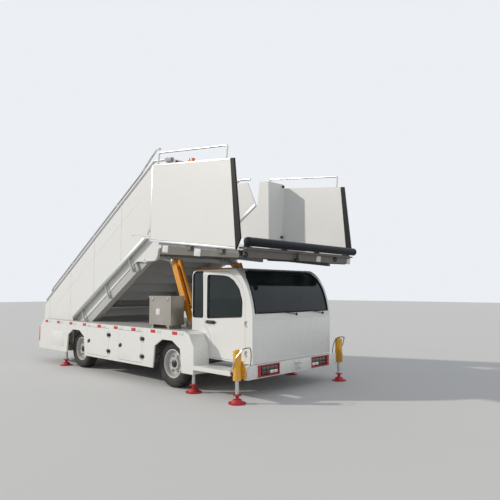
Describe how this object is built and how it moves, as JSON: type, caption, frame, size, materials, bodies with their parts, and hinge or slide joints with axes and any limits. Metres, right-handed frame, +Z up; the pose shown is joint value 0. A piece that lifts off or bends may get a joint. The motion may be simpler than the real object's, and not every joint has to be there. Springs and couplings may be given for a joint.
{
  "type": "mobile aircraft stairs",
  "caption": "Self-propelled passenger stairs: low deck truck with cab, telescoping stair flight raised by struts, drooping top platform with sliding side panels, and jacks.",
  "frame": {"origin": "middle of the footprint's box, on the ground", "axes": "+X towards the cab and the platform's nose, +Y to the driver's left, +Z up"},
  "size_m": [6.711, 2.7484, 3.9698],
  "materials": {
    "white_paint": "gloss white enamel",
    "frame_grey": "satin dark grey",
    "deck_grey": "satin light grey",
    "locker_steel": "plain sheet",
    "lamp_red": "gloss red",
    "tinted_glass": "tinted",
    "dash_plastic": "matt black",
    "seat_cover": "dark cloth",
    "stainless": "brushed",
    "orange_paint": "gloss orange enamel",
    "tyre": "matt black",
    "rim_silver": "satin silver",
    "chrome": "polished",
    "tread_aluminium": "chequered",
    "black_rubber": "satin black"
  },
  "bodies": {
    "chassis": {"chassis_frame": "frame_grey", "deck": "deck_grey", "skirt_right": "white_paint", "skirt_left": "white_paint", "locker_boxes": "locker_steel", "bumper": "white_paint", "lamps": "lamp_red", "cab_shell": "white_paint", "cab_glass": "tinted_glass", "dashboard": "dash_plastic", "seats": "seat_cover", "power_unit": "frame_grey", "toolbox": "stainless", "front_axle": "frame_grey", "rear_axle": "frame_grey", "jack_bodies": "orange_paint"},
    "locker_door_front_right": {"locker_door_front_right": "white_paint"},
    "locker_door_front_left": {"locker_door_front_left": "white_paint"},
    "locker_door_rear_right": {"locker_door_rear_right": "white_paint"},
    "locker_door_rear_left": {"locker_door_rear_left": "white_paint"},
    "cab_door_right": {"cab_door_right": "white_paint", "door_glass_right": "tinted_glass"},
    "knuckle_right": {"knuckle_right": "frame_grey"},
    "cab_door_left": {"cab_door_left": "white_paint", "door_glass_left": "tinted_glass"},
    "knuckle_left": {"knuckle_left": "frame_grey"},
    "wheel_front_right": {"tyre_front_right": "tyre", "rim_front_right": "rim_silver"},
    "wheel_front_left": {"tyre_front_left": "tyre", "rim_front_left": "rim_silver"},
    "wheel_rear_right": {"tyre_rear_right": "tyre", "rim_rear_right": "rim_silver"},
    "wheel_rear_left": {"tyre_rear_left": "tyre", "rim_rear_left": "rim_silver"},
    "jacks_front": {"jack_legs_front": "chrome"},
    "jacks_middle": {"jack_legs_middle": "chrome"},
    "jacks_rear": {"jack_legs_rear": "chrome"},
    "lower_flight": {"lower_side_panels": "white_paint", "lower_steps": "tread_aluminium", "lower_handrails": "stainless"},
    "upper_flight": {"upper_cheeks": "white_paint", "upper_steps": "tread_aluminium", "upper_handrails": "stainless"},
    "platform": {"platform_floor": "tread_aluminium", "platform_frame": "frame_grey", "platform_walls": "white_paint", "front_roll": "black_rubber"},
    "side_panel_right": {"slide_panel_right": "white_paint", "panel_rail_right": "stainless", "panel_seal_right": "black_rubber"},
    "side_panel_left": {"slide_panel_left": "white_paint", "panel_rail_left": "stainless", "panel_seal_left": "black_rubber"},
    "strut_legs": {"lift_legs": "orange_paint"},
    "strut_sleeves": {"lift_sleeves": "orange_paint"}
  },
  "joints": [
    {"name": "locker_front_right_open", "type": "hinge", "parent": "chassis", "child": "locker_door_front_right", "pos_m": [0.79696, -1.266, 0.585], "axis": [0, 0, 1], "range_deg": [0, 100]},
    {"name": "locker_front_left_open", "type": "hinge", "parent": "chassis", "child": "locker_door_front_left", "pos_m": [0.79696, 1.266, 0.585], "axis": [0, 0, -1], "range_deg": [0, 100]},
    {"name": "locker_rear_right_open", "type": "hinge", "parent": "chassis", "child": "locker_door_rear_right", "pos_m": [-0.26304, -1.266, 0.585], "axis": [0, 0, 1], "range_deg": [0, 100]},
    {"name": "locker_rear_left_open", "type": "hinge", "parent": "chassis", "child": "locker_door_rear_left", "pos_m": [-0.26304, 1.266, 0.585], "axis": [0, 0, -1], "range_deg": [0, 100]},
    {"name": "cab_door_right_open", "type": "hinge", "parent": "chassis", "child": "cab_door_right", "pos_m": [2.89696, -0.956, 0.85], "axis": [0, 0, 1], "range_deg": [0, 70]},
    {"name": "cab_door_left_open", "type": "hinge", "parent": "chassis", "child": "cab_door_left", "pos_m": [2.89696, 0.956, 0.85], "axis": [0, 0, -1], "range_deg": [0, 70]},
    {"name": "steer_left", "type": "hinge", "parent": "chassis", "child": "knuckle_left", "pos_m": [1.47446, 0.93, 0.372], "axis": [0, 0, 1], "range_deg": [-31, 31]},
    {"name": "steer_right", "type": "hinge", "parent": "chassis", "child": "knuckle_right", "pos_m": [1.47446, -0.93, 0.372], "axis": [0, 0, 1], "range_deg": [-31, 31]},
    {"name": "spin_front_right", "type": "hinge", "parent": "knuckle_right", "child": "wheel_front_right", "pos_m": [1.47446, -1.045, 0.372], "axis": [0, 1, 0], "continuous": true},
    {"name": "spin_front_left", "type": "hinge", "parent": "knuckle_left", "child": "wheel_front_left", "pos_m": [1.47446, 1.045, 0.372], "axis": [0, 1, 0], "continuous": true},
    {"name": "spin_rear_right", "type": "hinge", "parent": "chassis", "child": "wheel_rear_right", "pos_m": [-1.50554, -1.03, 0.372], "axis": [0, 1, 0], "continuous": true},
    {"name": "spin_rear_left", "type": "hinge", "parent": "chassis", "child": "wheel_rear_left", "pos_m": [-1.50554, 1.03, 0.372], "axis": [0, 1, 0], "continuous": true},
    {"name": "jacks_front_lift", "type": "slide", "parent": "chassis", "child": "jacks_front", "axis": [0, 0, 1], "range_m": [0, 0.18]},
    {"name": "jacks_middle_lift", "type": "slide", "parent": "chassis", "child": "jacks_middle", "axis": [0, 0, 1], "range_m": [0, 0.18]},
    {"name": "jacks_rear_lift", "type": "slide", "parent": "chassis", "child": "jacks_rear", "axis": [0, 0, 1], "range_m": [0, 0.15]},
    {"name": "stair_pitch", "type": "hinge", "parent": "chassis", "child": "lower_flight", "pos_m": [-2.90554, 0, 0.4], "axis": [0, -1, 0], "range_deg": [0, 9]},
    {"name": "stair_extend", "type": "slide", "parent": "lower_flight", "child": "upper_flight", "axis": [0.8554, 0, 0.518], "range_m": [0, 1.6]},
    {"name": "platform_level", "type": "hinge", "parent": "upper_flight", "child": "platform", "pos_m": [1.07446, 0, 2.29], "axis": [0, -1, 0], "range_deg": [0, 7]},
    {"name": "side_panel_right_slide", "type": "slide", "parent": "platform", "child": "side_panel_right", "axis": [0.9925, 0, -0.1219], "range_m": [0, 0.3]},
    {"name": "side_panel_left_slide", "type": "slide", "parent": "platform", "child": "side_panel_left", "axis": [0.9925, 0, -0.1219], "range_m": [0, 0.3]},
    {"name": "strut_swing", "type": "hinge", "parent": "chassis", "child": "strut_legs", "pos_m": [1.45446, 0, 0.98], "axis": [0, -1, 0], "range_deg": [0, 0.93]},
    {"name": "strut_reach", "type": "slide", "parent": "strut_legs", "child": "strut_sleeves", "axis": [-0.4086, 0, 0.9127], "range_m": [0, 0.6615]}
  ],
  "couplings": [
    {"joint": "steer_right", "follows": "steer_left", "ratio": 1},
    {"joint": "strut_swing", "follows": "stair_pitch", "ratio": 0.103},
    {"joint": "strut_reach", "follows": "stair_pitch", "m_per_rad": 4.2093}
  ]
}
